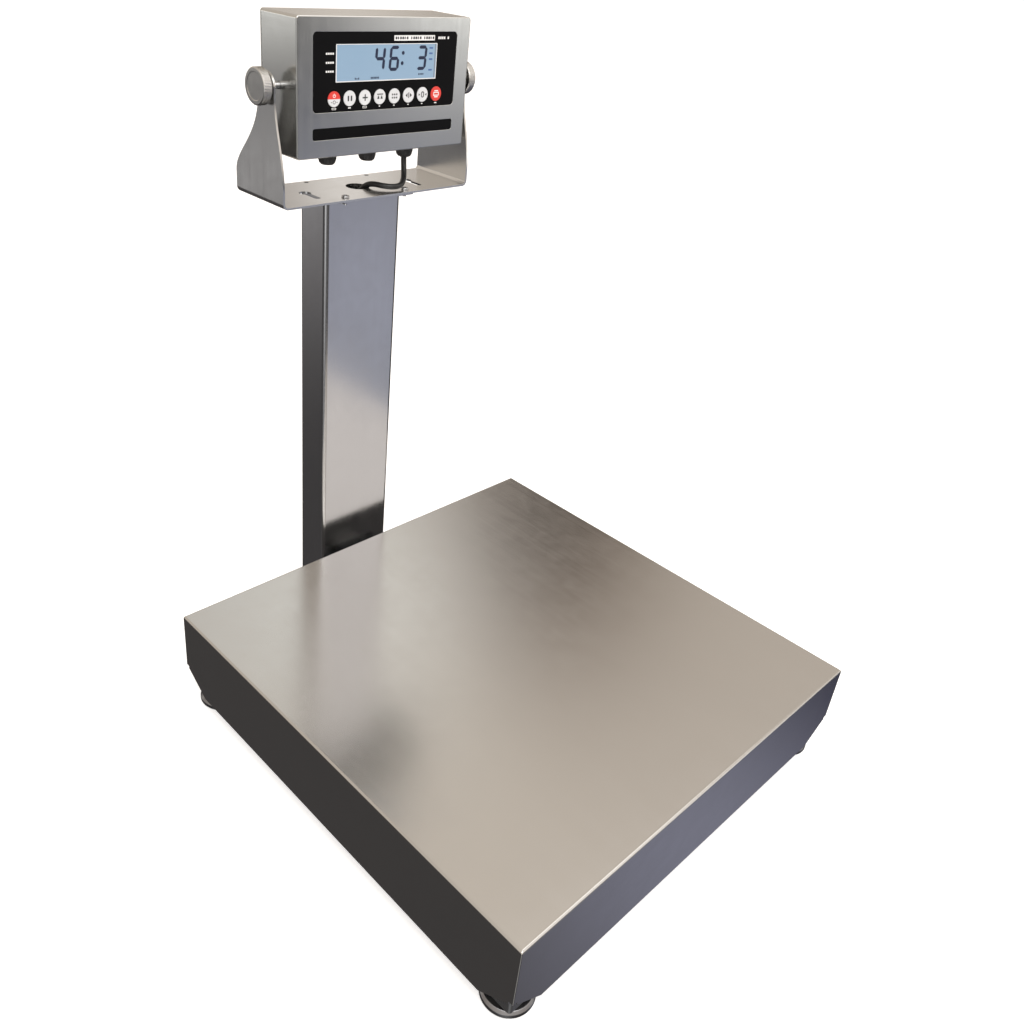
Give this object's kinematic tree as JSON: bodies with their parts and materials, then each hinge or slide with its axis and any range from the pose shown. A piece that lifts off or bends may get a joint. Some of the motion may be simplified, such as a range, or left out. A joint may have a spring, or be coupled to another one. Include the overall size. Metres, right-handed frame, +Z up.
{
  "type": "animal weighing scale",
  "caption": "Low square stainless platform on levelling feet, with a rear column that carries a tilting display unit in a U-shaped yoke.",
  "frame": {"origin": "centre of the bounding box at the level that the feet stand on", "axes": "+Z up, -Y towards the user, +X to the right as the user faces the display"},
  "size_m": [0.61, 0.709, 0.845],
  "materials": {
    "cover_steel": "fine brushed stainless steel",
    "column_steel": "brushed stainless steel",
    "yoke_steel": "satin stainless steel",
    "casing_steel": "brushed stainless steel",
    "frame_steel": "welded stainless tube, mill finish",
    "foot_steel": "turned, satin",
    "screw_steel": "machined, bright",
    "load_cell_alloy": "milled aluminium alloy",
    "pad_rubber": "moulded rubber",
    "knob_metal": "turned, fine ribbed rim",
    "panel_black": "smooth black film, semi-gloss",
    "display_glass": "clear flat window over a pale blue lit display",
    "board_green": "glass-fibre circuit board",
    "key_red": "matte printed film",
    "key_grey": "matte printed film",
    "gland_black": "moulded nylon",
    "cable_black": "smooth black cable sheath"
  },
  "bodies": {
    "base": {"column": "column_steel", "column_head_plate": "column_steel", "yoke_bracket": "yoke_steel", "base_rail_left": "frame_steel", "base_rail_right": "frame_steel", "base_cross_front": "frame_steel", "base_cross_rear": "frame_steel", "load_cell_beam": "frame_steel", "upper_beam": "frame_steel", "upper_cross_front": "frame_steel", "upper_cross_rear": "frame_steel", "column_bracket": "frame_steel", "corner_leg_fl": "frame_steel", "corner_leg_fr": "frame_steel", "corner_leg_rl": "frame_steel", "corner_leg_rr": "frame_steel", "load_cell_bolt_base_inner": "screw_steel", "load_cell_bolt_base_outer": "screw_steel", "load_cell_bolt_top_inner": "screw_steel", "load_cell_bolt_top_outer": "screw_steel", "yoke_screw_left": "screw_steel", "yoke_screw_right": "screw_steel", "load_cell": "load_cell_alloy", "rest_pad_fl": "pad_rubber", "rest_pad_fr": "pad_rubber", "rest_pad_rl": "pad_rubber", "rest_pad_rr": "pad_rubber", "cable_run": "cable_black"},
    "cover": {"platform_cover": "cover_steel"},
    "indicator": {"casing_front": "casing_steel", "casing_rear_cover": "casing_steel", "keypad_panel": "panel_black", "display_window": "display_glass", "lower_strip": "panel_black", "display_module": "board_green", "main_board": "board_green", "cable_gland_left": "gland_black", "cable_gland_middle": "gland_black", "cable_gland_right": "gland_black", "pivot_stud_left": "screw_steel", "pivot_stud_right": "screw_steel", "rear_screw_ul": "screw_steel", "rear_screw_ur": "screw_steel", "rear_screw_ll": "screw_steel", "rear_screw_lr": "screw_steel", "cable_loop": "cable_black"},
    "knob_left": {"clamp_knob_left": "knob_metal"},
    "knob_right": {"clamp_knob_right": "knob_metal"},
    "foot_fl": {"levelling_foot_fl": "foot_steel"},
    "foot_fr": {"levelling_foot_fr": "foot_steel"},
    "foot_rl": {"levelling_foot_rl": "foot_steel"},
    "foot_rr": {"levelling_foot_rr": "foot_steel"},
    "key_1": {"key_1": "key_red"},
    "key_2": {"key_2": "key_grey"},
    "key_3": {"key_3": "key_grey"},
    "key_4": {"key_4": "key_grey"},
    "key_5": {"key_5": "key_grey"},
    "key_6": {"key_6": "key_grey"},
    "key_7": {"key_7": "key_grey"},
    "key_8": {"key_8": "key_red"}
  },
  "joints": [
    {"name": "cover_lift", "type": "slide", "parent": "base", "child": "cover", "axis": [0, 0, 1], "range_m": [0, 0.15]},
    {"name": "indicator_tilt", "type": "hinge", "parent": "base", "child": "indicator", "pos_m": [0, 0.2885, 0.77], "axis": [-1, 0, 0], "range_deg": [-20, 45], "deforming": ["cable_loop"]},
    {"name": "knob_left_turn", "type": "hinge", "parent": "indicator", "child": "knob_left", "pos_m": [-0.15, 0.2885, 0.77], "axis": [1, 0, 0], "range_deg": [0, 1080]},
    {"name": "knob_right_turn", "type": "hinge", "parent": "indicator", "child": "knob_right", "pos_m": [0.15, 0.2885, 0.77], "axis": [-1, 0, 0], "range_deg": [0, 1080]},
    {"name": "foot_fl_turn", "type": "hinge", "parent": "base", "child": "foot_fl", "pos_m": [-0.272, -0.3215, 0], "axis": [0, 0, 1], "range_deg": [-1080, 1080]},
    {"name": "foot_fr_turn", "type": "hinge", "parent": "base", "child": "foot_fr", "pos_m": [0.272, -0.3215, 0], "axis": [0, 0, 1], "range_deg": [-1080, 1080]},
    {"name": "foot_rl_turn", "type": "hinge", "parent": "base", "child": "foot_rl", "pos_m": [-0.272, 0.2225, 0], "axis": [0, 0, 1], "range_deg": [-1080, 1080]},
    {"name": "foot_rr_turn", "type": "hinge", "parent": "base", "child": "foot_rr", "pos_m": [0.272, 0.2225, 0], "axis": [0, 0, 1], "range_deg": [-1080, 1080]},
    {"name": "key_1_press", "type": "slide", "parent": "indicator", "child": "key_1", "axis": [0, 1, 0], "range_m": [0, 0.0005], "stiffness_N_per_m": 3000},
    {"name": "key_2_press", "type": "slide", "parent": "indicator", "child": "key_2", "axis": [0, 1, 0], "range_m": [0, 0.0005], "stiffness_N_per_m": 3000},
    {"name": "key_3_press", "type": "slide", "parent": "indicator", "child": "key_3", "axis": [0, 1, 0], "range_m": [0, 0.0005], "stiffness_N_per_m": 3000},
    {"name": "key_4_press", "type": "slide", "parent": "indicator", "child": "key_4", "axis": [0, 1, 0], "range_m": [0, 0.0005], "stiffness_N_per_m": 3000},
    {"name": "key_5_press", "type": "slide", "parent": "indicator", "child": "key_5", "axis": [0, 1, 0], "range_m": [0, 0.0005], "stiffness_N_per_m": 3000},
    {"name": "key_6_press", "type": "slide", "parent": "indicator", "child": "key_6", "axis": [0, 1, 0], "range_m": [0, 0.0005], "stiffness_N_per_m": 3000},
    {"name": "key_7_press", "type": "slide", "parent": "indicator", "child": "key_7", "axis": [0, 1, 0], "range_m": [0, 0.0005], "stiffness_N_per_m": 3000},
    {"name": "key_8_press", "type": "slide", "parent": "indicator", "child": "key_8", "axis": [0, 1, 0], "range_m": [0, 0.0005], "stiffness_N_per_m": 3000}
  ]
}
